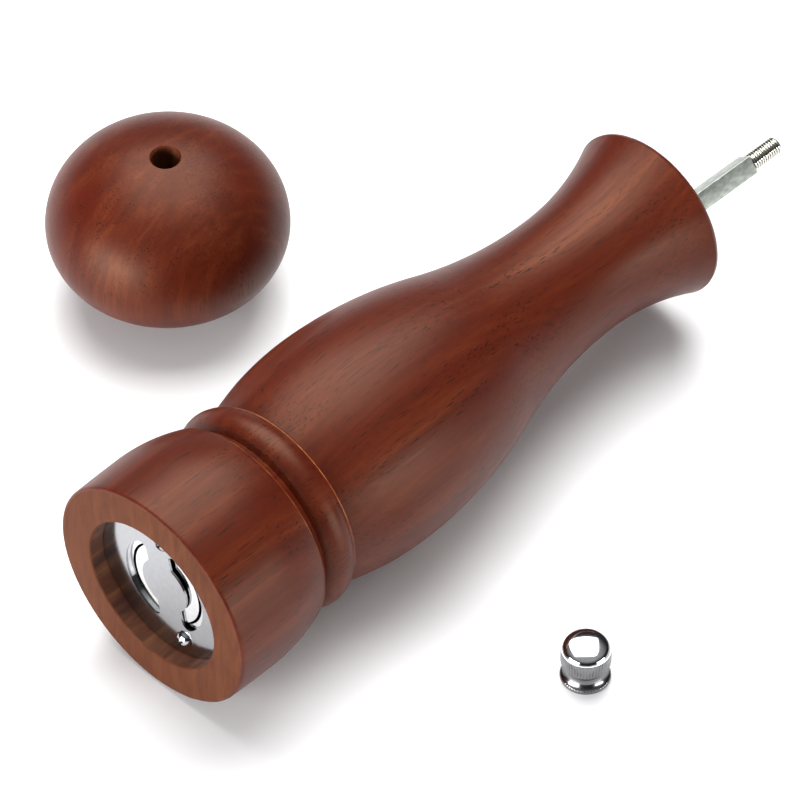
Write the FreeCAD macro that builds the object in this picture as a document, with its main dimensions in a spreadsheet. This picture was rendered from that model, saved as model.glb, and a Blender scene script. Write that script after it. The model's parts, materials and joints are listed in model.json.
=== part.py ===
import FreeCAD, Part
import math
import os
import Sketcher

# A turned wooden pepper mill, taken apart: the body lies on its drum and its belly, the cap
# stands on its tenon and the finial nut on its flange. With the cap off, the spindle and what
# rides on it lean in the mill. Millimetres, +Z up. Every piece of the mill is drawn upright in
# its own frame and then laid in its place.
# Row frame: +X along the mill from base to top, origin below the middle of the whole layout.

V = FreeCAD.Vector
UP = V(0, 0, 1)

SIZES = [
    ("wooden body, stations measured along the mill from the base face", None),
    ("body_length", 178.1),
    ("recess_radius", 20.9),
    ("recess_depth", 5),
    ("foot_radius", 30.8),
    ("foot_round", 0.8),
    ("drum_radius", 31),
    ("drum_station", 14),
    ("shoulder_radius", 27.9),
    ("shoulder_station", 31.3),
    ("shoulder_curve", 46),
    ("cove_radius", 25.3),
    ("cove_station", 33.9),
    ("cove_curve", 3),
    ("bead_edge_radius", 26.2),
    ("bead_edge_station", 43.2),
    ("bead_curve", 5.6),
    ("neck_radius", 25.7),
    ("neck_station", 43.8),
    ("belly_radius", 29.9),
    ("belly_station", 69.7),
    ("waist_radius", 17.3),
    ("waist_station", 147),
    ("lip_radius", 23.45),
    ("lip_station", 176.5),
    ("lip_round", 1.6),
    ("mouth_radius", 15.6),
    ("mouth_depth", 8.4),
    ("chamber_radius", 12.6),
    ("seat_radius", 13.3),
    ("seat_end", 27.4),
    ("cap and its drive plate", None),
    ("cap_radius", 31.2),
    ("crown_height", 24.2),
    ("skirt_height", 20.5),
    ("skirt_drop", 13.5),
    ("tenon_radius", 15.4),
    ("tenon_length", 8),
    ("cap_hole_radius", 3.7),
    ("plate_seat_radius", 12.2),
    ("plate_seat_depth", 3.4),
    ("drive_plate_radius", 12),
    ("drive_plate_thickness", 1.2),
    ("drive_hole_side", 5.2),
    ("drive_screw_place", 8.4),
    ("base plate and its screws", None),
    ("plate_radius", 20.7),
    ("plate_thickness", 0.6),
    ("window_outer_radius", 13),
    ("window_inner_radius", 7.4),
    ("window_round", 1.8),
    ("bar_width", 7.7),
    ("bar_angle", 167),
    ("screw_place", 15.7),
    ("first_screw_angle", 155),
    ("second_screw_angle", -1),
    ("screw_head_radius", 2.3),
    ("screw_head_height", 1.7),
    ("screw_dome", 2.6),
    ("screw_shank_radius", 1.4),
    ("pilot_radius", 1.3),
    ("screw_length", 11),
    ("screw_point_length", 2.5),
    ("screw_point_radius", 0.2),
    ("screw_hole_play", 0.1),
    ("cross_length", 2.5),
    ("cross_width", 0.62),
    ("cross_depth", 0.9),
    ("burrs", None),
    ("burr_start", 5.5),
    ("burr_rim", 1.4),
    ("female_end", 26.2),
    ("female_foot_radius", 13.05),
    ("female_radius", 13.25),
    ("female_low_radius", 11.6),
    ("female_throat_radius", 10.4),
    ("throat_station", 14),
    ("female_top_radius", 12.4),
    ("female_tooth_depth", 0.8),
    ("female_tooth_count", 36),
    ("male_end", 19),
    ("male_low_radius", 10.9),
    ("male_throat_radius", 9.6),
    ("male_top_radius", 5.6),
    ("male_pocket_radius", 5.6),
    ("male_pocket_end", 10),
    ("male_tooth_depth", 1.8),
    ("male_tooth_count", 32),
    ("male_flute_lead", 0.6),
    ("male_flute_width", 3),
    ("male_flute_count", 7),
    ("tooth_reach", 1),
    ("tooth_width", 1.6),
    ("spindle and what rides on it", None),
    ("spindle_side", 5),
    ("square_play", 0.1),
    ("spindle_start", 5.6),
    ("pivot_radius", 2.4),
    ("clip_start", 9.1),
    ("clip_end", 9.9),
    ("groove_radius", 1.9),
    ("clip_radius", 4),
    ("clip_gap", 2.8),
    ("clip_play", 0.05),
    ("thread_start", 211),
    ("thread_radius", 2.48),
    ("thread_chamfer", 0.5),
    ("spindle_end", 221.3),
    ("bush_radius", 4.6),
    ("bush_bore", 2.5),
    ("bush_end", 8.2),
    ("washer_radius", 5.9),
    ("washer_bore", 3.7),
    ("washer_start", 19.1),
    ("washer_end", 20),
    ("bridge_start", 26.2),
    ("bridge_width", 11.4),
    ("bridge_bore", 4.3),
    ("coil_radius", 5),
    ("coil_wire", 0.7),
    ("coil_turns", 4),
    ("coil_play", 0.3),
    ("lean", 1.65),
    ("lean_station", 6.8),
    ("lean_side", 135),
    ("spindle_turned", 50),
    ("finial nut", None),
    ("flange_radius", 6.35),
    ("flange_height", 1.4),
    ("nut_waist_radius", 4.7),
    ("band_radius", 6.25),
    ("band_start", 5.8),
    ("band_end", 10.6),
    ("dome_radius", 6),
    ("nut_height", 12.8),
    ("nut_bore_radius", 2.52),
    ("nut_bore_depth", 8),
    ("knurl_count", 48),
    ("knurl_depth", 0.32),
    ("knurl_width", 0.66),
    ("nut_chamfer", 0.3),
    ("where the loose pieces stand, from the foot of the mill", None),
    ("cap_along", 94.7),
    ("cap_aside", 89.8),
    ("nut_along", 73),
    ("nut_aside", -75),
]

doc = FreeCAD.newDocument("pepper_mill")
sheet = doc.addObject("Spreadsheet::Sheet", "Sizes")
sheet.Label = "dim"
for row, (name, value) in enumerate(SIZES, start=1):
    sheet.set("A%d" % row, name)
    if value is not None:
        sheet.set("B%d" % row, str(value))
        sheet.setAlias("B%d" % row, name)
doc.recompute()


def size(name):
    """The number in the sheet's cell of that name."""
    return float(getattr(sheet, name))


def bind(thing, **formulas):
    """Tie properties of a document object to formulas over the sheet's cells."""
    for key, formula in formulas.items():
        thing.setExpression(key, formula)
    return thing


def sagitta(run, rise):
    """Formula for the radius of an arc that leaves its highest point level and falls by rise over run."""
    return "((%s)^2 + (%s)^2) / (2 * (%s))" % (run, rise, rise)


def new_body(label):
    body = doc.addObject("PartDesign::Body", label)
    body.Label = label
    return body


def new_sketch(body, role, name, height=None):
    sketch = body.newObject("Sketcher::SketchObject", name)
    plane = [item for item in body.Origin.OriginFeatures if item.Role == role][0]
    sketch.AttachmentSupport = [(plane, "")]
    sketch.MapMode = "FlatFace"
    if height:
        sketch.setExpression(".AttachmentOffset.Base.z", height)
    return sketch


def pin(sketch, edge, end, place):
    """Hold one end of an edge at a place given as two formulas."""
    for key, formula, axis in (("DistanceX", place[0], -2), ("DistanceY", place[1], -1)):
        value = float(sketch.evalExpression(formula))
        if value == 0:
            sketch.addConstraint(Sketcher.Constraint("PointOnObject", edge, end, axis))
            continue
        index = sketch.addConstraint(Sketcher.Constraint(key, edge, end, value))
        sketch.setExpression("Constraints[%d]" % index, formula)


def outline(sketch, corners):
    """Closed outline. A corner is (x, y), or (x, y, radius, turn) where an arc runs to the next
    corner: turn is 1 for a left-hand arc and -1 for a right-hand one."""
    places = [V(*[float(sketch.evalExpression(item)) for item in corner[:2]], 0) for corner in corners]
    edges = []
    for index, corner in enumerate(corners):
        here, there = places[index], places[(index + 1) % len(places)]
        if len(corner) == 2:
            edge = sketch.addGeometry(Part.LineSegment(here, there), False)
            edges.append((edge, 1, 2))
            continue
        radius, turn = float(sketch.evalExpression(corner[2])), corner[3]
        half = (there - here) * 0.5
        away = math.sqrt(radius ** 2 - half.Length ** 2)
        centre = here + half + V(-half.y, half.x, 0).normalize() * away * turn
        first, last = (here, there) if turn > 0 else (there, here)
        angles = [math.atan2(end.y - centre.y, end.x - centre.x) for end in (first, last)]
        if angles[1] < angles[0]:
            angles[1] += 2 * math.pi
        arc = Part.ArcOfCircle(Part.Circle(centre, UP, radius), *angles)
        edge = sketch.addGeometry(arc, False)
        edges.append((edge, 1, 2) if turn > 0 else (edge, 2, 1))
    for index, (edge, start, end) in enumerate(edges):
        following = edges[(index + 1) % len(edges)]
        sketch.addConstraint(Sketcher.Constraint("Coincident", edge, end, following[0], following[1]))
        pin(sketch, edge, start, corners[index])
        if len(corners[index]) == 4:
            radius = float(sketch.evalExpression(corners[index][2]))
            held = sketch.addConstraint(Sketcher.Constraint("Radius", edge, radius))
            sketch.setExpression("Constraints[%d]" % held, corners[index][2])


def ring(sketch, radius, centre=None):
    """A full circle, on the sketch's origin or at a place given as two formulas."""
    place = [float(sketch.evalExpression(item)) for item in centre] if centre else (0, 0)
    value = float(sketch.evalExpression(radius))
    edge = sketch.addGeometry(Part.Circle(V(*place, 0), UP, value), False)
    if centre:
        pin(sketch, edge, 3, centre)
    else:
        sketch.addConstraint(Sketcher.Constraint("Coincident", edge, 3, -1, 1))
    held = sketch.addConstraint(Sketcher.Constraint("Radius", edge, value))
    sketch.setExpression("Constraints[%d]" % held, radius)


def square(sketch, side):
    """A square about the sketch's origin."""
    half, back = "%s / 2" % side, "-%s / 2" % side
    outline(sketch, [(back, back), (half, back), (half, half), (back, half)])


def revolve(body, corners):
    """Turn an outline of (radius, station) corners about the body's upright axis."""
    sketch = new_sketch(body, "XZ_Plane", body.Label + "_profile")
    outline(sketch, corners)
    turned = body.newObject("PartDesign::Revolution", body.Label + "_turned")
    turned.Profile = sketch
    turned.ReferenceAxis = (sketch, ["V_Axis"])
    turned.Angle = 360
    return turned


def pad(body, sketch, length):
    block = body.newObject("PartDesign::Pad", sketch.Label + "_pad")
    block.Profile = sketch
    bind(block, Length=length)
    return block


def cut_up(body, sketch):
    """Cut a sketch through everything above and below it."""
    pocket = body.newObject("PartDesign::Pocket", sketch.Label + "_cut")
    pocket.Profile = sketch
    pocket.Type = "ThroughAll"
    pocket.Midplane = True
    return pocket


def cut_upward(body, sketch, depth):
    """Cut a sketch into the solid above it, and see that it removes something."""
    doc.recompute()
    before = body.Shape.Volume
    pocket = body.newObject("PartDesign::Pocket", sketch.Label + "_cut")
    pocket.Profile = sketch
    pocket.Reversed = True
    bind(pocket, Length=depth)
    doc.recompute()
    if not body.Shape.Volume < before - 0.1:
        raise RuntimeError("%s cuts nothing" % pocket.Label)
    return pocket


def repeat(body, feature, count):
    """Repeat a feature round the body's upright axis."""
    pattern = body.newObject("PartDesign::PolarPattern", feature.Label + "_round")
    pattern.Originals = [feature]
    axis = [item for item in body.Origin.OriginFeatures if item.Role == "Z_Axis"][0]
    pattern.Axis = (axis, [""])
    pattern.Angle = 360
    bind(pattern, Occurrences=count)
    body.Tip = pattern
    return pattern


def cylinder(radius, length, start="0 mm", label="rod"):
    rod = doc.addObject("Part::Cylinder", label)
    bind(rod, Radius=radius, Height=length)
    rod.setExpression(".Placement.Base.z", start)
    return rod


def cut(base, tool, label="cut"):
    result = doc.addObject("Part::Cut", label)
    result.Base, result.Tool = base, tool
    return result


def fuse(shapes, label="fuse"):
    result = doc.addObject("Part::MultiFuse", label)
    result.Shapes = shapes
    return result


def polar(radius, angle):
    """Place at a radius and an angle, as two formulas."""
    return "%s * cos(%s * 1 deg)" % (radius, angle), "%s * sin(%s * 1 deg)" % (radius, angle)


def wooden_body():
    body = new_body("mill_body")
    swing = ("(dim.waist_station - dim.belly_station) / 2", "(dim.belly_radius - dim.waist_radius) / 2")
    turned = revolve(body, [
        ("dim.recess_radius", "0"),
        ("dim.foot_radius - dim.foot_round", "0", "dim.foot_round", 1),
        ("dim.foot_radius", "dim.foot_round",
         sagitta("dim.drum_station - dim.foot_round", "dim.drum_radius - dim.foot_radius"), 1),
        ("dim.drum_radius", "dim.drum_station", "dim.shoulder_curve", 1),
        ("dim.shoulder_radius", "dim.shoulder_station", "dim.cove_curve", -1),
        ("dim.cove_radius", "dim.cove_station", "dim.bead_curve", 1),
        ("dim.bead_edge_radius", "dim.bead_edge_station"),
        ("dim.neck_radius", "dim.neck_station",
         sagitta("dim.belly_station - dim.neck_station", "dim.belly_radius - dim.neck_radius"), 1),
        ("dim.belly_radius", "dim.belly_station", sagitta(*swing), 1),
        ("(dim.belly_radius + dim.waist_radius) / 2", "(dim.belly_station + dim.waist_station) / 2",
         sagitta(*swing), -1),
        ("dim.waist_radius", "dim.waist_station",
         sagitta("dim.lip_station - dim.waist_station", "dim.lip_radius - dim.waist_radius"), -1),
        ("dim.lip_radius", "dim.lip_station", "dim.lip_round", 1),
        ("dim.lip_radius - dim.lip_round", "dim.body_length"),
        ("dim.mouth_radius", "dim.body_length"),
        ("dim.mouth_radius", "dim.body_length - dim.mouth_depth"),
        ("dim.chamber_radius", "dim.body_length - dim.mouth_depth"),
        ("dim.chamber_radius", "dim.seat_end"),
        ("dim.seat_radius", "dim.seat_end"),
        ("dim.seat_radius", "dim.recess_depth"),
        ("dim.recess_radius", "dim.recess_depth"),
    ])
    pilots = new_sketch(body, "XY_Plane", "pilot_holes", "dim.recess_depth")
    for angle in ("dim.first_screw_angle", "dim.second_screw_angle"):
        ring(pilots, "dim.pilot_radius", polar("dim.screw_place", angle))
    cut_upward(body, pilots, "dim.screw_length - dim.plate_thickness")
    return body


def cap():
    crown = doc.addObject("Part::Ellipsoid", "crown")
    bind(crown, Radius1="dim.crown_height", Radius2="dim.cap_radius", Radius3="dim.cap_radius")
    crown.Angle1, crown.Angle2 = 0, 90
    skirt = doc.addObject("Part::Ellipsoid", "skirt")
    bind(skirt, Radius1="dim.skirt_height", Radius2="dim.cap_radius", Radius3="dim.cap_radius",
         Angle1="-asin(dim.skirt_drop / dim.skirt_height)")
    skirt.Angle2 = 0
    for half in (crown, skirt):
        half.setExpression(".Placement.Base.z", "dim.tenon_length + dim.skirt_drop")
    tenon = cylinder("dim.tenon_radius", "dim.tenon_length + dim.skirt_drop / 2", label="tenon")
    tall = "dim.tenon_length + dim.skirt_drop + dim.crown_height"
    tools = [cylinder("dim.cap_hole_radius", tall, label="cap_hole"),
             cylinder("dim.plate_seat_radius", "dim.plate_seat_depth", label="plate_seat")]
    for side in (-1, 1):
        pilot = cylinder("dim.pilot_radius", "dim.plate_seat_depth + dim.screw_length", label="cap_pilot")
        pilot.setExpression(".Placement.Base.x", "%d * dim.drive_screw_place" % side)
        tools.append(pilot)
    return cut(fuse([crown, skirt, tenon], "cap_blank"), fuse(tools, "cap_tools"), "cap")


def drive_plate():
    body = new_body("cap_drive_plate")
    disc = new_sketch(body, "XY_Plane", "drive_disc")
    ring(disc, "dim.drive_plate_radius")
    square(disc, "dim.drive_hole_side")
    for side in ("-dim.drive_screw_place", "dim.drive_screw_place"):
        ring(disc, "dim.screw_shank_radius + dim.screw_hole_play", (side, "0"))
    pad(body, disc, "dim.drive_plate_thickness")
    return body


def screw(label):
    """A pan-head cross-recess screw, head down, with the underside of its head at height 0."""
    head = cylinder("dim.screw_head_radius", "dim.screw_head_height", "-dim.screw_head_height", "head")
    dome = doc.addObject("Part::Sphere", "dome")
    bind(dome, Radius="dim.screw_dome")
    dome.setExpression(".Placement.Base.z", "dim.screw_dome - dim.screw_head_height")
    pan = doc.addObject("Part::Common", "pan")
    pan.Base, pan.Tool = head, dome
    straight = "dim.screw_length - dim.screw_point_length"
    sunk = "dim.screw_head_height / 2"
    shank = cylinder("dim.screw_shank_radius", "%s + %s" % (straight, sunk), "-%s" % sunk, "shank")
    point = doc.addObject("Part::Cone", "point")
    bind(point, Radius1="dim.screw_shank_radius", Radius2="dim.screw_point_radius",
         Height="dim.screw_point_length")
    point.setExpression(".Placement.Base.z", straight)
    slots = []
    for turn in (45, 135):
        slot = doc.addObject("Part::Box", "slot")
        bind(slot, Length="dim.cross_length", Width="dim.cross_width", Height="dim.cross_depth")
        corner = V(-size("cross_length") / 2, -size("cross_width") / 2, 0)
        around = FreeCAD.Placement(V(0, 0, -size("screw_head_height")), FreeCAD.Rotation(UP, turn))
        slot.Placement = around.multiply(FreeCAD.Placement(corner, FreeCAD.Rotation()))
        slots.append(slot)
    return cut(fuse([pan, shank, point], "blank"), fuse(slots, "cross"), label)


def screws(label, places):
    """Identical screws share one node, as separate solids."""
    made = []
    for count, place in enumerate(places, start=1):
        one = screw("%s_%d" % (label, count))
        one.Placement = FreeCAD.Placement(place, FreeCAD.Rotation())
        made.append(one)
    group = doc.addObject("Part::Compound", label)
    group.Links = made
    return group


def base_plate():
    """Polished disc with two kidney windows either side of a bar with a round middle."""
    body = new_body("base_plate")
    disc = new_sketch(body, "XY_Plane", "plate_disc")
    ring(disc, "dim.plate_radius")
    for angle in ("dim.first_screw_angle", "dim.second_screw_angle"):
        place = polar("dim.screw_place", "(%s - dim.bar_angle + 90)" % angle)
        ring(disc, "dim.screw_shank_radius + dim.screw_hole_play", place)
    pad(body, disc, "dim.plate_thickness")
    window = new_sketch(body, "XY_Plane", "window")
    half = "dim.bar_width / 2"
    inner = "sqrt(dim.window_inner_radius^2 - (%s)^2)" % half
    # Each outer corner is rounded: where the rounding leaves the bar, and where it meets the rim.
    across = "(%s + dim.window_round)" % half
    up = "sqrt((dim.window_outer_radius - dim.window_round)^2 - %s^2)" % across
    rim = "dim.window_outer_radius / (dim.window_outer_radius - dim.window_round)"
    outline(window, [
        ("%s * %s" % (across, rim), "-%s * %s" % (up, rim), "dim.window_outer_radius", 1),
        ("%s * %s" % (across, rim), "%s * %s" % (up, rim), "dim.window_round", 1),
        (half, up),
        (half, inner, "dim.window_inner_radius", -1),
        (half, "-%s" % inner),
        (half, "-%s" % up, "dim.window_round", 1),
    ])
    repeat(body, cut_up(body, window), "2")
    return body


def male_burr():
    body = new_body("male_burr")
    revolve(body, [
        ("dim.male_pocket_radius", "dim.burr_start"),
        ("dim.male_low_radius", "dim.burr_start"),
        ("dim.male_throat_radius", "dim.throat_station"),
        ("dim.male_top_radius", "dim.male_end"),
        ("0", "dim.male_end"),
        ("0", "dim.male_pocket_end"),
        ("dim.male_pocket_radius", "dim.male_pocket_end"),
    ])
    hole = new_sketch(body, "XY_Plane", "male_square")
    square(hole, "(dim.spindle_side + dim.square_play)")
    cut_up(body, hole)
    start, height = "dim.burr_start + dim.burr_rim", "dim.male_end - dim.burr_start - dim.burr_rim"
    tooth = new_sketch(body, "XY_Plane", "male_tooth", start)
    outside = "dim.male_low_radius + dim.tooth_reach"
    outline(tooth, [("dim.male_low_radius - dim.male_tooth_depth", "0"), (outside, "-dim.tooth_width / 2"),
                    (outside, "dim.tooth_width / 2")])
    repeat(body, cut_upward(body, tooth, height), "dim.male_tooth_count")
    flute = new_sketch(body, "XY_Plane", "male_flute", start)
    outline(flute, [("dim.male_top_radius + dim.male_flute_lead", "0"), (outside, "0 - dim.male_flute_lead"),
                    (outside, "dim.male_flute_width")])
    repeat(body, cut_upward(body, flute, height), "dim.male_flute_count")
    return body


def female_burr():
    body = new_body("female_burr")
    revolve(body, [
        ("dim.female_foot_radius", "dim.recess_depth"),
        ("dim.female_radius", "dim.recess_depth"),
        ("dim.female_radius", "dim.female_end"),
        ("dim.female_top_radius", "dim.female_end"),
        ("dim.female_throat_radius", "dim.throat_station"),
        ("dim.female_low_radius", "dim.burr_start"),
        ("dim.female_foot_radius", "dim.burr_start"),
    ])
    start, height = "dim.burr_start + dim.burr_rim", "dim.female_end - dim.burr_start - dim.burr_rim"
    tooth = new_sketch(body, "XY_Plane", "female_tooth", start)
    inside = "dim.female_throat_radius - dim.tooth_reach"
    outline(tooth, [(inside, "-dim.tooth_width / 2"), ("dim.female_low_radius + dim.female_tooth_depth", "0"),
                    (inside, "dim.tooth_width / 2")])
    repeat(body, cut_upward(body, tooth, height), "dim.female_tooth_count")
    return body


def spindle():
    """Square bar with a round pivot below, a groove for the clip and a round threaded tip."""
    body = new_body("spindle")
    revolve(body, [
        ("0", "dim.spindle_start"),
        ("dim.pivot_radius", "dim.spindle_start"),
        ("dim.pivot_radius", "dim.clip_start"),
        ("dim.groove_radius", "dim.clip_start"),
        ("dim.groove_radius", "dim.clip_end"),
        ("dim.pivot_radius", "dim.clip_end"),
        ("dim.pivot_radius", "dim.thread_start"),
        ("dim.thread_radius", "dim.thread_start"),
        ("dim.thread_radius", "dim.spindle_end - dim.thread_chamfer"),
        ("dim.thread_radius - dim.thread_chamfer", "dim.spindle_end"),
        ("0", "dim.spindle_end"),
    ])
    bar = new_sketch(body, "XY_Plane", "spindle_square", "dim.male_pocket_end")
    square(bar, "dim.spindle_side")
    pad(body, bar, "dim.thread_start - dim.male_pocket_end")
    return body


def spindle_clip():
    """Open retaining ring in the spindle's groove."""
    start = "dim.clip_start + dim.clip_play"
    thick = "dim.clip_end - dim.clip_start - 2 * dim.clip_play"
    disc = cylinder("dim.clip_radius", thick, start, "clip_disc")
    hole = cylinder("dim.groove_radius + dim.clip_play", thick, start, "clip_hole")
    gap = doc.addObject("Part::Box", "clip_opening")
    bind(gap, Length="dim.clip_radius", Width="dim.clip_gap", Height="dim.clip_end - dim.clip_start")
    gap.setExpression(".Placement.Base.y", "-dim.clip_gap / 2")
    gap.setExpression(".Placement.Base.z", "dim.clip_start")
    return cut(disc, fuse([hole, gap], "clip_tools"), "spindle_clip")


def tube(label, outer, bore, start, end):
    length = "%s - %s" % (end, start)
    return cut(cylinder(outer, length, start), cylinder(bore, length, start), label)


def burr_bridge():
    """Cross-bar over the burrs that centres the spindle."""
    disc = cylinder("dim.female_radius", "dim.seat_end - dim.bridge_start", "dim.bridge_start", "bridge_disc")
    bar = doc.addObject("Part::Box", "bridge_bar")
    bind(bar, Length="2 * dim.female_radius", Width="dim.bridge_width",
         Height="dim.seat_end - dim.bridge_start")
    bar.setExpression(".Placement.Base.x", "-dim.female_radius")
    bar.setExpression(".Placement.Base.y", "-dim.bridge_width / 2")
    bar.setExpression(".Placement.Base.z", "dim.bridge_start")
    strip = doc.addObject("Part::Common", "bridge_strip")
    strip.Base, strip.Tool = disc, bar
    bore = cylinder("dim.bridge_bore", "dim.seat_end", label="bridge_bore")
    return cut(strip, bore, "burr_bridge")


def spring():
    """Coil between the thrust washer and the bridge, of tilted half rings that meet end to end."""
    rise = "(dim.bridge_start - dim.washer_end - dim.coil_play - dim.coil_wire) / (2 * dim.coil_turns)"
    lowest = "dim.washer_end + dim.coil_wire / 2"
    halves = []
    for count in range(int(2 * size("coil_turns"))):
        half = doc.addObject("Part::Torus", "half_ring")
        bind(half, Radius1="sqrt(dim.coil_radius^2 + ((%s) / 2)^2)" % rise, Radius2="dim.coil_wire / 2")
        half.Angle3 = 180
        tilt = math.degrees(math.atan2(float(sheet.evalExpression(rise)) / 2, size("coil_radius")))
        turn = FreeCAD.Rotation(UP, 180 * count).multiply(FreeCAD.Rotation(V(0, 1, 0), tilt))
        half.Placement = FreeCAD.Placement(V(), turn)
        half.setExpression(".Placement.Base.z", "%s + (%s) * %.1f" % (lowest, rise, count + 0.5))
        halves.append(half)
    return fuse(halves, "burr_spring")


def finial_nut():
    body = new_body("finial_nut")
    revolve(body, [
        ("dim.nut_bore_radius", "0"),
        ("dim.flange_radius - dim.nut_chamfer", "0"),
        ("dim.flange_radius", "dim.nut_chamfer"),
        ("dim.flange_radius", "dim.flange_height - dim.nut_chamfer"),
        ("dim.flange_radius - dim.nut_chamfer", "dim.flange_height",
         sagitta("(dim.band_start - dim.flange_height) / 2",
                 "dim.band_radius - dim.nut_chamfer - dim.nut_waist_radius"), -1),
        ("dim.band_radius - dim.nut_chamfer", "dim.band_start"),
        ("dim.band_radius", "dim.band_start + dim.nut_chamfer"),
        ("dim.band_radius", "dim.band_end - dim.nut_chamfer"),
        ("dim.dome_radius", "dim.band_end", sagitta("dim.dome_radius", "dim.nut_height - dim.band_end"), 1),
        ("0", "dim.nut_height"),
        ("0", "dim.nut_bore_depth"),
        ("dim.nut_bore_radius", "dim.nut_bore_depth - 1"),
    ])
    groove = new_sketch(body, "XY_Plane", "knurl_groove", "dim.band_start")
    outline(groove, [("dim.band_radius - dim.knurl_depth", "0"),
                     ("dim.flange_radius", "-dim.knurl_width / 2"),
                     ("dim.flange_radius", "dim.knurl_width / 2")])
    repeat(body, cut_upward(body, groove, "dim.band_end - dim.band_start"), "dim.knurl_count")
    return body


def flat_at(radius, angle, height):
    turn = math.radians(size(angle))
    return V(size(radius) * math.cos(turn), size(radius) * math.sin(turn), height)


plate_top = size("recess_depth") - size("plate_thickness")
screw_floor = size("plate_seat_depth") - size("drive_plate_thickness")
reach = V(size("drive_screw_place"), 0, 0)
mill_pieces = [
    wooden_body(),
    base_plate(),
    screws("base_plate_screws", [flat_at("screw_place", "first_screw_angle", plate_top),
                                 flat_at("screw_place", "second_screw_angle", plate_top)]),
    tube("pivot_bush", "dim.bush_radius", "dim.bush_bore", "dim.recess_depth", "dim.bush_end"),
    female_burr(),
    burr_bridge(),
    male_burr(),
    tube("thrust_washer", "dim.washer_radius", "dim.washer_bore", "dim.washer_start", "dim.washer_end"),
    spring(),
    spindle(),
    spindle_clip(),
]
cap_pieces = [
    cap(),
    drive_plate(),
    screws("drive_plate_screws", [UP * screw_floor + reach, UP * screw_floor - reach]),
]
nut_pieces = [finial_nut()]

# Where two pieces sit in the frame of the mill or the cap: height, and turn about its axis.
seats = {
    "base_plate": FreeCAD.Placement(UP * plate_top, FreeCAD.Rotation(UP, size("bar_angle") - 90)),
    "cap_drive_plate": FreeCAD.Placement(UP * screw_floor, FreeCAD.Rotation()),
}
doc.recompute()

# The spindle and what rides on it lean together about the middle of the bush.
lean_axis = FreeCAD.Rotation(UP, size("lean_side") + 90).multVec(V(1, 0, 0))
leaning = FreeCAD.Placement(V(), FreeCAD.Rotation(lean_axis, size("lean")), UP * size("lean_station"))
turned = FreeCAD.Placement(V(), FreeCAD.Rotation(UP, size("spindle_turned")))
seats.update({name: leaning for name in ("thrust_washer", "burr_spring")})
seats.update({name: leaning.multiply(turned) for name in ("male_burr", "spindle", "spindle_clip")})

# The mill lies on its drum and its belly, so its axis dips a little towards the lip.
dip = math.atan2(size("drum_radius") - size("belly_radius"), size("belly_station") - size("drum_station"))
lay = FreeCAD.Placement(V(), FreeCAD.Rotation(V(math.sin(dip), 0, math.cos(dip)), V(0, -1, 0),
                                              V(math.cos(dip), 0, -math.sin(dip)), "XYZ"))
groups = [
    (mill_pieces, lay),
    (cap_pieces, FreeCAD.Placement(V(size("cap_along"), size("cap_aside"), 0), FreeCAD.Rotation())),
    (nut_pieces, FreeCAD.Placement(V(size("nut_along"), size("nut_aside"), 0), FreeCAD.Rotation())),
]
for pieces, place in groups:
    for piece in pieces:
        seat = seats.get(piece.Label, FreeCAD.Placement())
        piece.Placement = place.multiply(seat).multiply(piece.Placement)
doc.recompute()

# Each group stands on the floor, and the origin is below the middle of them all.
for pieces, place in groups:
    lift = V(0, 0, -min(piece.Shape.optimalBoundingBox().ZMin for piece in pieces))
    for piece in pieces:
        piece.Placement = FreeCAD.Placement(lift, FreeCAD.Rotation()).multiply(piece.Placement)
nodes = [piece for pieces, place in groups for piece in pieces]
boxes = [piece.Shape.optimalBoundingBox() for piece in nodes]
middle = V(-(min(box.XMin for box in boxes) + max(box.XMax for box in boxes)) / 2,
           -(min(box.YMin for box in boxes) + max(box.YMax for box in boxes)) / 2, 0)
for piece in nodes:
    piece.Placement = FreeCAD.Placement(middle, FreeCAD.Rotation()).multiply(piece.Placement)
doc.recompute()

for thing in doc.Objects:
    if {"Invalid", "Error"} & set(thing.State):
        raise RuntimeError("%s failed: %s" % (thing.Label, thing.State))
os.makedirs("parts", exist_ok=True)
for piece in nodes:
    if piece.Shape.isNull() or not piece.Shape.isValid():
        raise RuntimeError("%s has no valid shape" % piece.Label)
    piece.Shape.exportStep("parts/%s.step" % piece.Label)
    box = piece.Shape.optimalBoundingBox()
    print("%-20s solids %d volume %9.1f  x %7.2f %7.2f  y %7.2f %7.2f  z %7.2f %7.2f" % (
        piece.Label, len(piece.Shape.Solids), piece.Shape.Volume,
        box.XMin, box.XMax, box.YMin, box.YMax, box.ZMin, box.ZMax))
print("dip %.3f degrees" % math.degrees(dip), "foot of the mill at", tuple(mill_pieces[0].Placement.Base))
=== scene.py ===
import json
import math
import bpy
from mathutils import Matrix, Vector


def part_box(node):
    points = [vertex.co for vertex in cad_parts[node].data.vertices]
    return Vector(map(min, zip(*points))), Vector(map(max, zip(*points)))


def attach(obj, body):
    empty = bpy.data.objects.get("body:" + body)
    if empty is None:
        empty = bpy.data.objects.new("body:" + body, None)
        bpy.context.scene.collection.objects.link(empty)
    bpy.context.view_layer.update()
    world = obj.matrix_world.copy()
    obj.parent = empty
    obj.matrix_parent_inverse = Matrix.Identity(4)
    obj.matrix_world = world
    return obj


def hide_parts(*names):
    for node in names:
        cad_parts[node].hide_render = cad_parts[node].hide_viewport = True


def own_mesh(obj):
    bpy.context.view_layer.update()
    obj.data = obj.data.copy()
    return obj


# A turned wooden pepper mill, taken apart: the body lies on its side with the spindle in it, and
# the cap and the finial nut stand beside it. The body, the cap, the spindle, the nut and the spring
# are redrawn here in finer detail, in the places of their CAD nodes. The other pieces are the CAD
# nodes with better materials. Profiles are in millimetres, and the scene is in metres.

MM = 0.001
UP = Vector((0, 0, 1))

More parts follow.
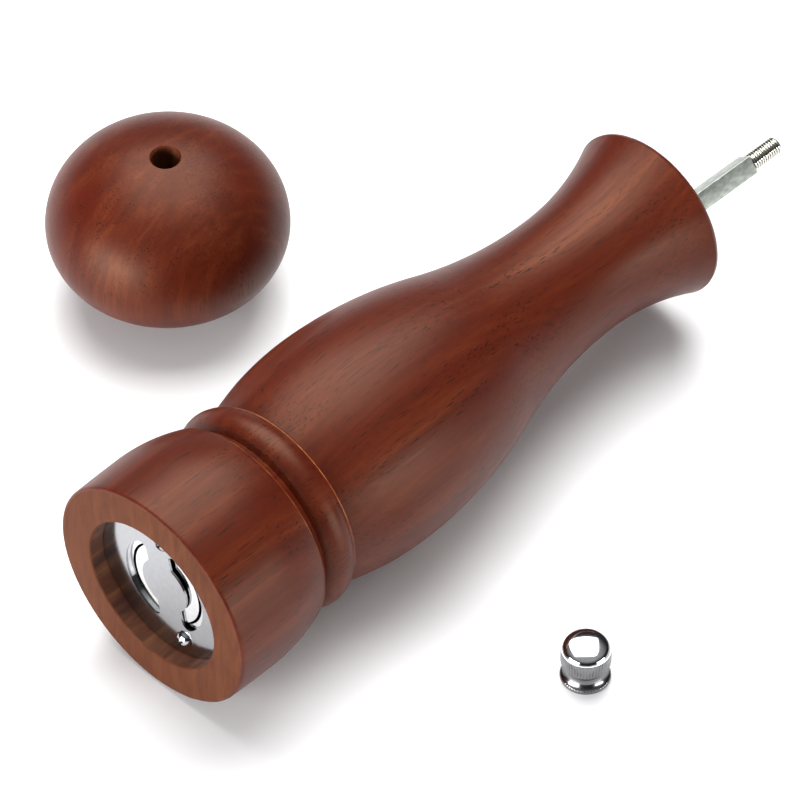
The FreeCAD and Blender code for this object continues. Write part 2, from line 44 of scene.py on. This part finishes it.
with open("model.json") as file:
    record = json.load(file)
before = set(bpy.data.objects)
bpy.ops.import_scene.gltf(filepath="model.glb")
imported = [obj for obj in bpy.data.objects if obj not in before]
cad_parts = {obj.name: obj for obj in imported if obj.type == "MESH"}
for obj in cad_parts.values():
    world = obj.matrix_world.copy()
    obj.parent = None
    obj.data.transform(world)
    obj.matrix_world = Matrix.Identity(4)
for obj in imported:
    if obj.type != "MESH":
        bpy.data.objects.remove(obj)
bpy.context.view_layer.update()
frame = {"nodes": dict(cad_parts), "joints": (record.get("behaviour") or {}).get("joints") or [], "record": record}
joints = {joint["name"]: joint for joint in frame["joints"]}


# ---------------------------------------------------------------- places, read from the frame

# The mount's point is on the foot's ring of wood, this far above the mill's axis, in metres.
MOUNT_UP = 0.0255

mount = frame["record"]["mounts"][0]
along = -Vector(mount["axis"]).normalized()
side = Vector((0, -1, 0))
over = side.cross(along)
foot = Vector(mount["pos_m"]) - over * MOUNT_UP
mill_place = Matrix.Translation(foot) @ Matrix((over, side, along)).transposed().to_4x4()

SPINDLE_TURNED = math.radians(50)

pivot = Vector(joints["spindle_lean"]["pos_m"])
spindle_axis = Vector(joints["spindle_turn"]["axis"]).normalized()
leaning = along.rotation_difference(spindle_axis).to_matrix().to_4x4()
lean_place = Matrix.Translation(pivot) @ leaning @ Matrix.Translation(-pivot) @ mill_place
spindle_place = lean_place @ Matrix.Rotation(SPINDLE_TURNED, 4, "Z")


def standing(node):
    """Place of a piece that stands upright on the floor, from its CAD box."""
    low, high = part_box(node)
    return Matrix.Translation(((low.x + high.x) / 2, (low.y + high.y) / 2, low.z))


# ---------------------------------------------------------------- mesh building

def arc(start, end, radius, turn, step=1.2):
    """Points on an arc from start up to, but not including, end: turn is 1 for a left-hand arc and
    -1 for a right-hand one, and step is about how far apart the points are."""
    start, end = Vector(start), Vector(end)
    half = (end - start) / 2
    away = math.sqrt(max(radius ** 2 - half.length_squared, 0))
    centre = start + half + Vector((-half.y, half.x)).normalized() * away * turn
    first, last = [math.atan2(*(point - centre).yx) for point in (start, end)]
    sweep = (last - first + math.pi) % (2 * math.pi) - math.pi
    count = max(3, round(abs(sweep) * radius / step))
    angles = [first + sweep * index / count for index in range(count)]
    return [tuple(centre + radius * Vector((math.cos(a), math.sin(a)))) for a in angles]


def sagitta(run, rise):
    """Radius of an arc that leaves its highest point level and falls by rise over run."""
    return (run ** 2 + rise ** 2) / (2 * rise)


def profile(corners):
    """Closed profile of (radius, station, finish) points from corners of
    (radius, station, finish) or, where an arc runs to the next corner,
    (radius, station, finish, arc radius, turn)."""
    points = []
    for index, corner in enumerate(corners):
        following = corners[(index + 1) % len(corners)]
        if len(corner) == 5:
            bow = arc(corner[:2], following[:2], corner[3], corner[4])
        else:
            bow = [corner[:2]]
        points += [(radius, station, corner[2]) for radius, station in bow]
    return points


def ellipse(radius, height, centre, first, last, count, finish):
    """Profile points on an upright ellipse between two angles, up to, but not including, the last."""
    angles = [first + (last - first) * index / count for index in range(count)]
    return [(radius * math.cos(a), centre + height * math.sin(a), finish) for a in angles]


def in_one_finish(corners):
    """Closed profile from corners of (radius, station), all in the first material."""
    return [(radius, station, 0) for radius, station in corners]


def new_piece(name, verts, faces, finishes, place, materials, sharp=30):
    """A smooth-shaded mesh object in its own upright frame, laid in its place."""
    mesh = bpy.data.meshes.new(name)
    mesh.from_pydata(verts, [], faces)
    for material in materials:
        mesh.materials.append(material)
    mesh.polygons.foreach_set("material_index", finishes)
    mesh.polygons.foreach_set("use_smooth", [True] * len(faces))
    mesh.validate()
    mesh.update()
    mesh.set_sharp_from_angle(angle=math.radians(sharp))
    piece = bpy.data.objects.new(name, mesh)
    bpy.context.scene.collection.objects.link(piece)
    piece.matrix_world = place
    return piece


def lathe(name, points, place, materials, columns=256, shape=None, sharp=30):
    """Turn a closed profile about the local Z axis. shape(radius, station, angle) may change
    the radius on the way round, as a knurl does. A point on the axis closes the surface."""
    verts, rows = [], []
    for radius, station, _ in points:
        if radius == 0:
            rows.append([len(verts)])
            verts.append((0, 0, station * MM))
            continue
        rows.append(range(len(verts), len(verts) + columns))
        for column in range(columns):
            angle = 2 * math.pi * column / columns
            here = shape(radius, station, angle) if shape else radius
            verts.append((here * MM * math.cos(angle), here * MM * math.sin(angle), station * MM))
    faces, finishes = [], []
    for index, (_, _, finish) in enumerate(points):
        low, high = rows[index], rows[(index + 1) % len(rows)]
        if len(low) == 1 and len(high) == 1:
            continue
        for column in range(columns):
            after = (column + 1) % columns
            if len(low) == 1:
                face = (low[0], high[after], high[column])
            elif len(high) == 1:
                face = (low[column], low[after], high[0])
            else:
                face = (low[column], low[after], high[after], high[column])
            faces.append(face)
            finishes.append(finish)
    return new_piece(name, verts, faces, finishes, place, materials, sharp)


def tube(name, rings, place, material, sharp):
    """A closed tube through rings of as many points each, with a flat face at each end."""
    count = len(rings[0])
    verts = [point for ring in rings for point in ring]
    faces = []
    for ring in range(len(rings) - 1):
        for index in range(count):
            low, after = ring * count + index, ring * count + (index + 1) % count
            faces.append((low, after, after + count, low + count))
    faces.append(tuple(reversed(range(count))))
    faces.append(tuple(range((len(rings) - 1) * count, len(rings) * count)))
    return new_piece(name, verts, faces, [0] * len(faces), place, [material], sharp)


def join(name, *pieces):
    """Several pieces in one place become one object."""
    bpy.ops.object.select_all(action="DESELECT")
    for piece in pieces:
        piece.select_set(True)
    bpy.context.view_layer.objects.active = pieces[0]
    bpy.ops.object.join()
    pieces[0].name = name
    return pieces[0]


# ---------------------------------------------------------------- materials

def srgb(*channels):
    """Linear colour from display values of 0 to 255."""
    scaled = [channel / 255 for channel in channels]
    return [c / 12.92 if c <= 0.04045 else ((c + 0.055) / 1.055) ** 2.4 for c in scaled] + [1]


class Finish:
    """A procedural material over object coordinates. Noise scales are in cycles per metre."""

    def __init__(self, name, **sockets):
        self.material = bpy.data.materials.new(name)
        self.material.use_nodes = True
        self.nodes = self.material.node_tree.nodes
        self.links = self.material.node_tree.links
        self.shader = self.nodes["Principled BSDF"]
        for key, value in sockets.items():
            socket = key.replace("_", " ").title().replace("Ior", "IOR")
            self.shader.inputs[socket].default_value = value
        self.coordinates = self.nodes.new("ShaderNodeTexCoord").outputs["Object"]

    def noise(self, scale, detail=3, roughness=0.55, distortion=0):
        """Noise from 0 to 1, as fine along each axis as scale says."""
        mapping = self.nodes.new("ShaderNodeMapping")
        mapping.inputs["Scale"].default_value = scale
        self.links.new(self.coordinates, mapping.inputs["Vector"])
        node = self.nodes.new("ShaderNodeTexNoise")
        node.inputs["Scale"].default_value = 1
        node.inputs["Detail"].default_value = detail
        node.inputs["Roughness"].default_value = roughness
        node.inputs["Distortion"].default_value = distortion
        self.links.new(mapping.outputs["Vector"], node.inputs["Vector"])
        return node.outputs["Fac"]

    def ramp(self, value, stops):
        """Colours or levels between stops of (position, colour) or (position, level)."""
        node = self.nodes.new("ShaderNodeValToRGB")
        elements = node.color_ramp.elements
        while len(elements) < len(stops):
            elements.new(0.5)
        for element, (position, colour) in zip(elements, stops):
            element.position = position
            element.color = colour if isinstance(colour, list) else (colour,) * 3 + (1,)
        self.links.new(value, node.inputs["Fac"])
        return node.outputs["Color"]

    def mix(self, factor, first, second, blend="MIX"):
        node = self.nodes.new("ShaderNodeMix")
        node.data_type = "RGBA"
        node.blend_type = blend
        inputs = {socket.identifier: socket for socket in node.inputs}
        for key, value in (("Factor_Float", factor), ("A_Color", first), ("B_Color", second)):
            if isinstance(value, bpy.types.NodeSocket):
                self.links.new(value, inputs[key])
            else:
                inputs[key].default_value = value
        return next(socket for socket in node.outputs if socket.identifier == "Result_Color")

    def send(self, value, socket):
        self.links.new(value, self.shader.inputs[socket])

    def spread(self, value, low, high, socket):
        """A value from 0 to 1 drives a socket between two numbers."""
        node = self.nodes.new("ShaderNodeMapRange")
        node.inputs["To Min"].default_value = low
        node.inputs["To Max"].default_value = high
        self.links.new(value, node.inputs["Value"])
        self.send(node.outputs["Result"], socket)

    def bump(self, height, distance, strength):
        """Relief of a height from 0 to 1 over a distance in metres."""
        node = self.nodes.new("ShaderNodeBump")
        node.inputs["Distance"].default_value = distance
        node.inputs["Strength"].default_value = strength
        self.links.new(height, node.inputs["Height"])
        self.send(node.outputs["Normal"], "Normal")


def stained_wood():
    """Lengthwise red and brown streaks with short dark pores, under a satin lacquer."""
    finish = Finish("stained_wood", roughness=0.38, specular_ior_level=0.28,
                    specular_tint=(1, 0.7, 0.5, 1))
    streaks = finish.noise((95, 260, 5), detail=5, roughness=0.6, distortion=0.6)
    base = finish.ramp(streaks, [(0.30, srgb(70, 21, 9)), (0.47, srgb(83, 28, 12)),
                                 (0.58, srgb(92, 36, 17)), (0.75, srgb(108, 49, 24))])
    red = finish.ramp(finish.noise((40, 60, 3), detail=2), [(0.42, 0.0), (0.62, 0.55)])
    base = finish.mix(red, base, srgb(74, 17, 8))
    fibres = finish.noise((1500, 1500, 32), detail=2, roughness=0.5)
    base = finish.mix(finish.ramp(fibres, [(0.35, 0.0), (0.7, 0.35)]), base, srgb(60, 19, 10))
    pores = finish.noise((2500, 2500, 150), detail=1)
    where = finish.noise((120, 220, 8), detail=2)
    dark = finish.mix(1.0, finish.ramp(pores, [(0.60, 0.0), (0.67, 1.0)]),
                      finish.ramp(where, [(0.42, 0.2), (0.60, 1.0)]), "MULTIPLY")
    base = finish.mix(dark, base, srgb(32, 10, 6))
    finish.send(base, "Base Color")
    finish.spread(fibres, 0.33, 0.46, "Roughness")
    finish.bump(finish.mix(0.6, fibres, dark, "SUBTRACT"), 0.00004, 0.35)
    return finish.material


def end_grain():
    """Paler, dull wood of the cut base, with fine speckle."""
    finish = Finish("end_grain", roughness=0.65, specular_ior_level=0.15)
    rings = finish.noise((70, 420, 10), detail=4, distortion=0.8)
    base = finish.ramp(rings, [(0.3, srgb(78, 38, 18)), (0.7, srgb(98, 53, 27))])
    speckle = finish.noise((3800, 3800, 3800), detail=2)
    base = finish.mix(finish.ramp(speckle, [(0.5, 0.0), (0.72, 0.6)]), base, srgb(70, 31, 17))
    finish.send(base, "Base Color")
    finish.bump(speckle, 0.00006, 0.4)
    return finish.material


def inner_wood():
    """Bored wood inside, with turning streaks."""
    finish = Finish("inner_wood", roughness=0.5, specular_ior_level=0.35)
    streaks = finish.noise((420, 420, 60), detail=4)
    finish.send(finish.ramp(streaks, [(0.32, srgb(66, 30, 16)), (0.5, srgb(92, 48, 25)),
                                      (0.7, srgb(124, 76, 40))]), "Base Color")
    finish.bump(streaks, 0.00005, 0.4)
    return finish.material


def worn_edge():
    """Thin stain on a sharp corner, where lighter wood shows through."""
    finish = Finish("worn_edge", roughness=0.42, specular_ior_level=0.4)
    patches = finish.noise((260, 260, 260))
    finish.send(finish.ramp(patches, [(0.35, srgb(112, 52, 26)), (0.65, srgb(176, 112, 62))]),
                "Base Color")
    return finish.material


def metal(name, colour, rough, fine=2500, spread=0.04, darkened=0.12, metallic=1.0):
    """Metal whose roughness and colour vary finely: spread is how far the roughness goes, and
    darkened how much of the colour the dark spots lose."""
    finish = Finish(name, metallic=metallic)
    speckle = finish.noise(fine if isinstance(fine, tuple) else (fine,) * 3)
    darker = [channel * (1 - darkened) for channel in colour[:3]] + [1]
    finish.send(finish.ramp(speckle, [(0.3, darker), (0.7, colour)]), "Base Color")
    finish.spread(speckle, rough - spread / 2, rough + spread / 2, "Roughness")
    return finish.material


def nylon():
    """Natural white plastic, slightly clouded."""
    finish = Finish("natural_nylon", roughness=0.5, subsurface_weight=0.1)
    clouds = finish.noise((900, 900, 900))
    finish.send(finish.ramp(clouds, [(0.3, srgb(214, 210, 196)), (0.7, srgb(228, 225, 214))]),
                "Base Color")
    return finish.material


def white_sweep():
    """The floor's pale, slightly glossy board."""
    finish = Finish("white_sweep", roughness=0.28, specular_ior_level=0.35)
    clouds = finish.noise((9, 9, 9))
    finish.send(finish.ramp(clouds, [(0.3, srgb(240, 240, 241)), (0.7, srgb(246, 246, 247))]),
                "Base Color")
    return finish.material


WOOD = stained_wood()
END_GRAIN = end_grain()
INNER = inner_wood()
WORN = worn_edge()
SATIN = metal("satin_steel", srgb(176, 177, 180), 0.13, fine=900, spread=0.05)
MIRROR = metal("mirror_steel", srgb(240, 241, 242), 0.06, fine=600, spread=0.03)
CHROME = metal("chrome", srgb(192, 193, 196), 0.1, fine=900, spread=0.03)
# Rougher chrome whose darker grey colour is painted dark reflection, for the nut's knurled band, neck and flange
# edge.
ROUGH_CHROME_PAINTED_DARK = metal("rough_chrome_painted_dark", srgb(132, 132, 134), 0.2, fine=900, spread=0.06)
ZINC = metal("zinc_steel", srgb(186, 192, 184), 0.34, fine=(900, 900, 500), spread=0.14,
             darkened=0.42, metallic=0.75)
BRIGHT = metal("bright_thread", srgb(240, 240, 230), 0.14, fine=1800, spread=0.06)
# A dark copy of the thread's metal, as painted shade in the thread's roots.
SHADED = metal("thread_root_painted_shade", srgb(84, 81, 74), 0.3, fine=1800, spread=0.08)
SPRING_STEEL = metal("spring_steel", srgb(170, 172, 176), 0.25)
BRASS = metal("machined_brass", srgb(214, 178, 104), 0.22)
NYLON = nylon()

CAD_FINISHES = {
    "base_plate": SATIN,
    "base_plate_screws": CHROME,
    "female_burr": MIRROR,
    "male_burr": MIRROR,
    "burr_bridge": ZINC,
    "pivot_bush": BRASS,
    "thrust_washer": NYLON,
    "spindle_clip": SPRING_STEEL,
    "cap_drive_plate": ZINC,
    "drive_plate_screws": ZINC,
}
for node, material in CAD_FINISHES.items():
    for material_slot in frame["nodes"][node].material_slots:
        material_slot.material = material


# ---------------------------------------------------------------- the wooden body

STAIN, END, BORE, EDGE = range(4)
WOODS = [WOOD, END_GRAIN, INNER, WORN]
ARRIS = 0.3

FOOT, FOOT_CORNER = 30.8, 0.8
DRUM, DRUM_AT, DRUM_BOW = 31, 14, 46
DRUM_TOP, DRUM_TOP_AT = 27.95, 31.1
COVE, COVE_AT, COVE_BOW = 27.7, 31.35, 3
BEAD_ROOT, BEAD_ROOT_AT, BEAD_BOW = 25.3, 33.9, 5.6
BEAD_TOP, BEAD_TOP_AT = 26.3, 42.9
FILLET, FILLET_AT = 26.2, 43.2
BELLY_START, BELLY_START_AT = 25.7, 43.8
BELLY, BELLY_AT = 29.9, 69.7
WAIST, WAIST_AT = 17.3, 147
LIP, LIP_AT, LIP_CORNER = 23.45, 176.5, 1.6
BODY_LENGTH = LIP_AT + LIP_CORNER

MOUTH, MOUTH_FLOOR = 15.6, BODY_LENGTH - 8.4
CHAMBER = 12.6
BURR_BORE, BURR_BORE_TOP = 13.3, 27.4
RECESS, RECESS_DEPTH = 20.9, 5

# The belly runs into the waist on two arcs of this radius that meet half way.
SWING = sagitta((WAIST_AT - BELLY_AT) / 2, (BELLY - WAIST) / 2)

mill_body = lathe("turned_body", profile([
    (FOOT - FOOT_CORNER, 0, STAIN, FOOT_CORNER, 1),
    (FOOT, FOOT_CORNER, STAIN, sagitta(DRUM_AT - FOOT_CORNER, DRUM - FOOT), 1),
    (DRUM, DRUM_AT, STAIN, DRUM_BOW, 1),
    (DRUM_TOP, DRUM_TOP_AT, EDGE),
    (COVE, COVE_AT, STAIN, COVE_BOW, -1),
    (BEAD_ROOT, BEAD_ROOT_AT, STAIN, BEAD_BOW, 1),
    (BEAD_TOP, BEAD_TOP_AT, EDGE),
    (FILLET, FILLET_AT, STAIN),
    (BELLY_START, BELLY_START_AT, STAIN,
     sagitta(BELLY_AT - BELLY_START_AT, BELLY - BELLY_START), 1),
    (BELLY, BELLY_AT, STAIN, SWING, 1),
    ((BELLY + WAIST) / 2, (BELLY_AT + WAIST_AT) / 2, STAIN, SWING, -1),
    (WAIST, WAIST_AT, STAIN, sagitta(LIP_AT - WAIST_AT, LIP - WAIST), -1),
    (LIP, LIP_AT, STAIN, LIP_CORNER, 1),
    (LIP - LIP_CORNER, BODY_LENGTH, STAIN),
    (MOUTH + ARRIS, BODY_LENGTH, STAIN),
    (MOUTH, BODY_LENGTH - ARRIS, BORE),
    (MOUTH, MOUTH_FLOOR, BORE),
    (CHAMBER, MOUTH_FLOOR, BORE),
    (CHAMBER, BURR_BORE_TOP, BORE),
    (BURR_BORE, BURR_BORE_TOP, BORE),
    (BURR_BORE, RECESS_DEPTH, BORE),
    (RECESS, RECESS_DEPTH, BORE),
    (RECESS, ARRIS, END),
    (RECESS + ARRIS, 0, END),
]), mill_place, WOODS)
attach(mill_body, "mill")
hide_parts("mill_body")


# ---------------------------------------------------------------- the cap

CAP_RADIUS, CROWN, SKIRT, EQUATOR = 31.2, 24.2, 20.5, 21.5
TENON, TENON_HEIGHT = 15.4, 8
PLATE_SEAT, PLATE_SEAT_AT = 12.2, 3.4
HOLE, HOLE_CORNER = 3.7, 0.35

skirt_start = -math.asin((EQUATOR - TENON_HEIGHT) / SKIRT)
rim_angle = math.acos((HOLE + HOLE_CORNER) / CAP_RADIUS)
rim_at = EQUATOR + CROWN * math.sin(rim_angle)

cap = lathe("turned_cap", [
    (HOLE, PLATE_SEAT_AT, BORE),
    (PLATE_SEAT, PLATE_SEAT_AT, BORE),
    (PLATE_SEAT, 0, END),
    (TENON - ARRIS, 0, STAIN),
    (TENON, ARRIS, STAIN),
    (TENON, TENON_HEIGHT, STAIN),
    *ellipse(CAP_RADIUS, SKIRT, EQUATOR, skirt_start, 0, 24, STAIN),
    *ellipse(CAP_RADIUS, CROWN, EQUATOR, 0, rim_angle, 48, STAIN),
    (HOLE + HOLE_CORNER, rim_at, STAIN),
    (HOLE, rim_at - HOLE_CORNER, BORE),
], standing("cap"), WOODS)
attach(cap, "cap")
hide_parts("cap")


# ---------------------------------------------------------------- the spindle

PIN, PIN_START, PIN_END, PIN_CHAMFER = 2.4, 5.6, 10.2, 0.2
GROOVE, GROOVE_START, GROOVE_END = 1.9, 9.1, 9.9
SHAFT_HALF, SHAFT_CORNER, SHAFT_CHAMFER = 2.5, 0.3, 0.35
SHAFT_START, SHAFT_END = 10, 211
THREAD_PITCH, THREAD_ROOT, THREAD_TOP = 0.8, 2.02, 2.48
THREAD_START, SPINDLE_END = 210.8, 221.3
RIDGES_START, RIDGES_END, RIDGE_ROWS = THREAD_START + 0.15, SPINDLE_END - 0.45, 151
SHADED_TO = THREAD_ROOT + 0.2
TIP_SHOULDER, TIP, TIP_CHAMFER = THREAD_ROOT - 0.1, THREAD_ROOT - 0.3, 0.15


def rounded_square(half, corner, steps=5):
    """Outline of a square bar with rounded edges, as (x, y)."""
    points = []
    for quarter in range(4):
        for step in range(steps + 1):
            angle = math.pi / 2 * (quarter + step / steps)
            turn = math.pi / 2 * quarter + math.pi / 4
            centre = math.sqrt(2) * (half - corner)
            points.append((centre * math.cos(turn) + corner * math.cos(angle),
                           centre * math.sin(turn) + corner * math.sin(angle)))
    return points


def square_shaft():
    """Square bar whose far end is chamfered."""
    sections = ((SHAFT_HALF, SHAFT_START), (SHAFT_HALF, SHAFT_END - SHAFT_CHAMFER),
                (SHAFT_HALF - SHAFT_CHAMFER, SHAFT_END))
    rings = [[(x * MM, y * MM, station * MM) for x, y in rounded_square(half, SHAFT_CORNER)]
             for half, station in sections]
    return tube("shaft", rings, spindle_place, ZINC, sharp=35)


def pivot_pin():
    """Round lower end of the spindle, with the clip's groove."""
    return lathe("pin", in_one_finish([
        (0, PIN_START),
        (PIN - PIN_CHAMFER, PIN_START),
        (PIN, PIN_START + PIN_CHAMFER),
        (PIN, GROOVE_START),
        (GROOVE, GROOVE_START),
        (GROOVE, GROOVE_END),
        (PIN, GROOVE_END),
        (PIN, PIN_END),
        (0, PIN_END),
    ]), spindle_place, [ZINC], columns=48)


def threaded(radius, station, angle):
    """Radius on a helix of rounded ridges, for the profile points above the thread's root."""
    if radius <= THREAD_ROOT:
        return radius
    phase = (station / THREAD_PITCH - angle / (2 * math.pi)) % 1
    ridge = 0.5 - 0.5 * math.cos(2 * math.pi * phase)
    return THREAD_ROOT + (THREAD_TOP - THREAD_ROOT) * ridge


def screw_thread():
    """Threaded upper end of the spindle, with painted shade in its roots."""
    length = RIDGES_END - RIDGES_START
    ridges = [(THREAD_TOP, RIDGES_START + length * row / RIDGE_ROWS) for row in range(RIDGE_ROWS + 1)]
    thread = lathe("thread", in_one_finish([
        (0, THREAD_START),
        (THREAD_ROOT, THREAD_START),
        *ridges,
        (TIP_SHOULDER, SPINDLE_END - TIP_CHAMFER),
        (TIP, SPINDLE_END),
        (0, SPINDLE_END),
    ]), spindle_place, [BRIGHT, SHADED], columns=96, shape=threaded, sharp=60)
    # Faces nearer the axis than SHADED_TO take the dark copy: painted shade in the roots.
    for face in thread.data.polygons:
        face.material_index = int(face.center.xy.length < SHADED_TO * MM)
    return thread


thread = screw_thread()
pin = pivot_pin()
shaft = square_shaft()
spindle = join("square_spindle", shaft, pin, thread)
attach(spindle, "spindle")
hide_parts("spindle")


# ---------------------------------------------------------------- the finial nut

# On the nut, the knurled band, the neck and the flange's edge take the second, darker chrome: a rougher finish
# with painted dark reflection.
POLISHED, PAINTED_DARK = range(2)
NUT_BORE, NUT_BORE_TOP, NUT_BORE_TIP = 2.52, 7, 8
FLANGE_SEAT, FLANGE, FLANGE_CORNER = 6.05, 6.35, 0.15
EDGE_START, EDGE_END = 0.35, 1.05
NECK, NECK_START, NECK_END, NECK_DEPTH = 5.95, 1.4, 5.8, 1.25
BAND, BAND_START, BAND_END, BAND_CORNER = 6.25, 6.1, 10.6, 0.1
SHOULDER, SHOULDER_BOW = 5.95, 1.9
DOME, DOME_AT, NUT_HEIGHT = 4.9, 11.9, 12.8
RIBS, BAND_RIB, FLANGE_RIB = 48, 0.42, 0.25


def knurled(radius, station, angle):
    """Straight ribs round the band, which fade out towards its top, and finer ones round the
    flange's edge."""
    wave = abs(((angle * RIBS / (2 * math.pi)) % 1) - 0.5) * 2
    if radius == BAND and station == BAND_START:
        return radius - BAND_RIB * wave
    if radius == FLANGE:
        return radius - FLANGE_RIB * wave
    return radius


nut = lathe("domed_nut", profile([
    (NUT_BORE, 0, POLISHED),
    (FLANGE_SEAT, 0, POLISHED),
    (FLANGE - FLANGE_CORNER, EDGE_START - FLANGE_CORNER, PAINTED_DARK),
    (FLANGE, EDGE_START, PAINTED_DARK),
    (FLANGE, EDGE_END, PAINTED_DARK),
    (FLANGE - FLANGE_CORNER, EDGE_END + FLANGE_CORNER, POLISHED),
    (NECK, NECK_START, PAINTED_DARK, sagitta((NECK_END - NECK_START) / 2, NECK_DEPTH), -1),
    (NECK, NECK_END, PAINTED_DARK),
    (BAND, BAND_START, PAINTED_DARK),
    (BAND, BAND_END - BAND_CORNER, PAINTED_DARK),
    (BAND - BAND_CORNER, BAND_END, POLISHED),
    (SHOULDER, BAND_END, POLISHED, SHOULDER_BOW, 1),
    (DOME, DOME_AT, POLISHED, sagitta(DOME, NUT_HEIGHT - DOME_AT), 1),
    (0, NUT_HEIGHT, POLISHED),
    (0, NUT_BORE_TIP, POLISHED),
    (NUT_BORE, NUT_BORE_TOP, POLISHED),
]), standing("finial_nut"), [CHROME, ROUGH_CHROME_PAINTED_DARK], columns=RIBS * 6, shape=knurled, sharp=32)
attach(nut, "nut")
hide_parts("finial_nut")


# ---------------------------------------------------------------- the spring

COIL_RADIUS, WIRE, COILS = 5, 0.7, 4
SPRING_START, SPRING_END = 20, 25.9


def coil_spring(per_turn=40, sides=12):
    """Open compression spring, as a closed tube."""
    climb = SPRING_END - SPRING_START - WIRE
    lead = math.atan2(climb / COILS, 2 * math.pi * COIL_RADIUS)
    rings = []
    for index in range(COILS * per_turn + 1):
        angle = 2 * math.pi * index / per_turn
        rise = SPRING_START + WIRE / 2 + climb * index / (COILS * per_turn)
        out = Vector((math.cos(angle), math.sin(angle), 0))
        forward = Vector((-math.sin(angle), math.cos(angle), 0)) * math.cos(lead) + UP * math.sin(lead)
        upward = out.cross(forward)
        ring = []
        for corner in range(sides):
            turn = 2 * math.pi * corner / sides
            across = out * math.cos(turn) + upward * math.sin(turn)
            ring.append(tuple((out * COIL_RADIUS + UP * rise + across * WIRE / 2) * MM))
        rings.append(ring)
    return tube("coil_spring", rings, lean_place, SPRING_STEEL, sharp=40)


spring = coil_spring()
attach(spring, "leaning_spring")
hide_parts("burr_spring")
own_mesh(spring)


# ---------------------------------------------------------------- floor, sky, lights and camera

FLOOR_SIZE = 3.0
SKY_STOPS = ((0.5, 0.06), (0.9, 1.0))
SKY_STRENGTH = 0.55
LIGHTS_TARGET = Vector((0, 0, 0.02))
LIGHTS = (
    # name, place, size, power
    ("overhead", (0.34, 0.38, 1.10), (1.2, 1.2), 26),
    ("left_low", (-1.20, 0.10, 0.30), (1.0, 0.50), 20),
    ("front_low", (0.30, -1.30, 0.24), (0.8, 0.24), 8),
)
CAMERA_AZIMUTH, CAMERA_ELEVATION, CAMERA_ROLL = (math.radians(a) for a in (-46.39, 49.08, 0.18))
CAMERA_DISTANCE, CAMERA_REACH = 1.6, 20
CAMERA_LENS, CAMERA_SENSOR = 285.4, 36
CAMERA_TARGET = Vector((-0.0045, -0.0011, 0))


def add_floor():
    """A square board under the object."""
    mesh = bpy.data.meshes.new("floor")
    corners = [(x * FLOOR_SIZE, y * FLOOR_SIZE, 0) for x, y in ((-1, -1), (1, -1), (1, 1), (-1, 1))]
    mesh.from_pydata(corners, [], [(0, 1, 2, 3)])
    mesh.materials.append(white_sweep())
    floor = bpy.data.objects.new("floor", mesh)
    bpy.context.scene.collection.objects.link(floor)


def add_sky():
    """A grey sky, dark from the horizon down and brighter overhead."""
    world = bpy.data.worlds.new("studio")
    world.use_nodes = True
    nodes, links = world.node_tree.nodes, world.node_tree.links
    sky = nodes["Background"]
    sky.inputs["Strength"].default_value = SKY_STRENGTH
    direction = nodes.new("ShaderNodeTexCoord")
    parts = nodes.new("ShaderNodeSeparateXYZ")
    shade = nodes.new("ShaderNodeValToRGB")
    for element, (position, level) in zip(shade.color_ramp.elements, SKY_STOPS):
        element.position = position
        element.color = (level, level, level, 1)
    links.new(direction.outputs["Generated"], parts.inputs["Vector"])
    links.new(parts.outputs["Z"], shade.inputs["Fac"])
    links.new(shade.outputs["Color"], sky.inputs["Color"])
    bpy.context.scene.world = world


def add_light(name, place, size, power):
    """Rectangular area light that faces the object."""
    data = bpy.data.lights.new(name, "AREA")
    data.shape = "RECTANGLE"
    data.size, data.size_y = size
    data.energy = power
    light = bpy.data.objects.new(name, data)
    bpy.context.scene.collection.objects.link(light)
    light.location = place
    light.rotation_euler = (LIGHTS_TARGET - Vector(place)).to_track_quat("-Z", "Y").to_euler()


def add_camera():
    """A long lens that looks down on the foot of the mill."""
    data = bpy.data.cameras.new("camera")
    data.sensor_width = CAMERA_SENSOR
    data.lens = CAMERA_LENS
    data.clip_end = CAMERA_REACH
    camera = bpy.data.objects.new("camera", data)
    bpy.context.scene.collection.objects.link(camera)
    level = math.cos(CAMERA_ELEVATION)
    back = Vector((math.sin(CAMERA_AZIMUTH) * level, -math.cos(CAMERA_AZIMUTH) * level,
                   math.sin(CAMERA_ELEVATION)))
    camera.location = CAMERA_TARGET + back * CAMERA_DISTANCE
    facing = (-back).to_track_quat("-Z", "Y").to_matrix().to_4x4()
    camera.rotation_euler = (facing @ Matrix.Rotation(CAMERA_ROLL, 4, "Z")).to_euler()
    bpy.context.scene.camera = camera


add_floor()
add_sky()
for light_row in LIGHTS:
    add_light(*light_row)
add_camera()
bpy.context.scene.view_settings.view_transform = "Standard"
